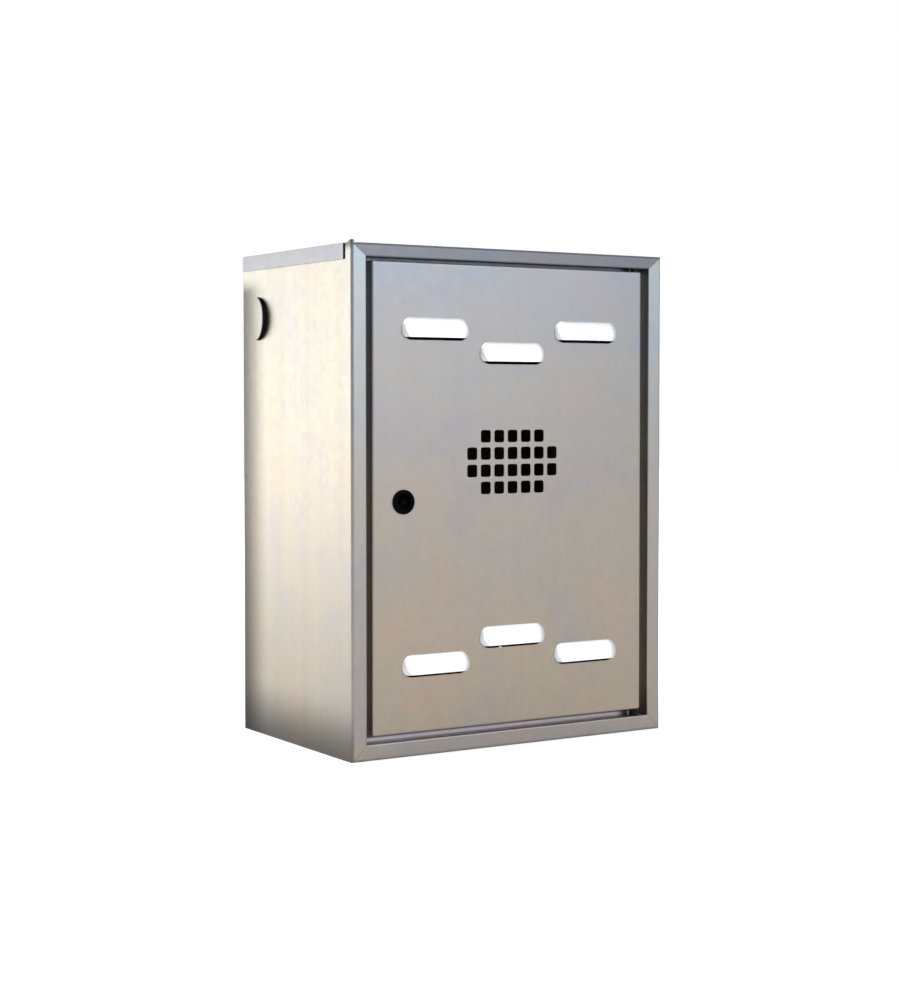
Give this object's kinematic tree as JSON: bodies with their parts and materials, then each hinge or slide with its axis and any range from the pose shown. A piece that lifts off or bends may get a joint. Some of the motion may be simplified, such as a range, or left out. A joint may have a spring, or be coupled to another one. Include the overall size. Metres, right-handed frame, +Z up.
{
  "type": "utility meter cabinet",
  "caption": "Upright folded sheet-steel utility cabinet with a vented door, quarter-turn lock and pipe knock-out.",
  "frame": {"origin": "middle of the underside, on the plane that the cabinet stands on", "axes": "+Z up, +X to the hinge side seen from the front, +Y from the door to the back wall"},
  "size_m": [0.3802, 0.2426, 0.5026],
  "materials": {
    "galvanised_sheet": "hot-dip galvanised sheet, satin",
    "plated_steel": "zinc plated",
    "lock_black": "moulded, fine grain",
    "spacer_nylon": "black nylon",
    "gasket_rubber": "matt"
  },
  "bodies": {
    "cabinet": {"body_wrap": "galvanised_sheet", "top_cover": "galvanised_sheet", "bottom_tray": "galvanised_sheet", "hinge_pin_upper": "plated_steel", "hinge_pin_lower": "plated_steel", "hinge_spacer_upper": "spacer_nylon", "hinge_spacer_lower": "spacer_nylon"},
    "door": {"door_panel": "galvanised_sheet", "lock_housing": "lock_black", "lock_gasket": "gasket_rubber", "lock_nut": "plated_steel"},
    "lock": {"lock_spindle": "lock_black", "lock_cam": "plated_steel", "cam_washer": "plated_steel", "cam_screw": "plated_steel"}
  },
  "joints": [
    {"name": "door_hinge", "type": "hinge", "parent": "cabinet", "child": "door", "pos_m": [0.1561, -0.113, 0.25325], "axis": [0, 0, 1], "range_deg": [0, 120]},
    {"name": "lock_turn", "type": "hinge", "parent": "door", "child": "lock", "pos_m": [-0.1288, -0.118, 0.24995], "axis": [0, 1, 0], "range_deg": [0, 90]}
  ]
}
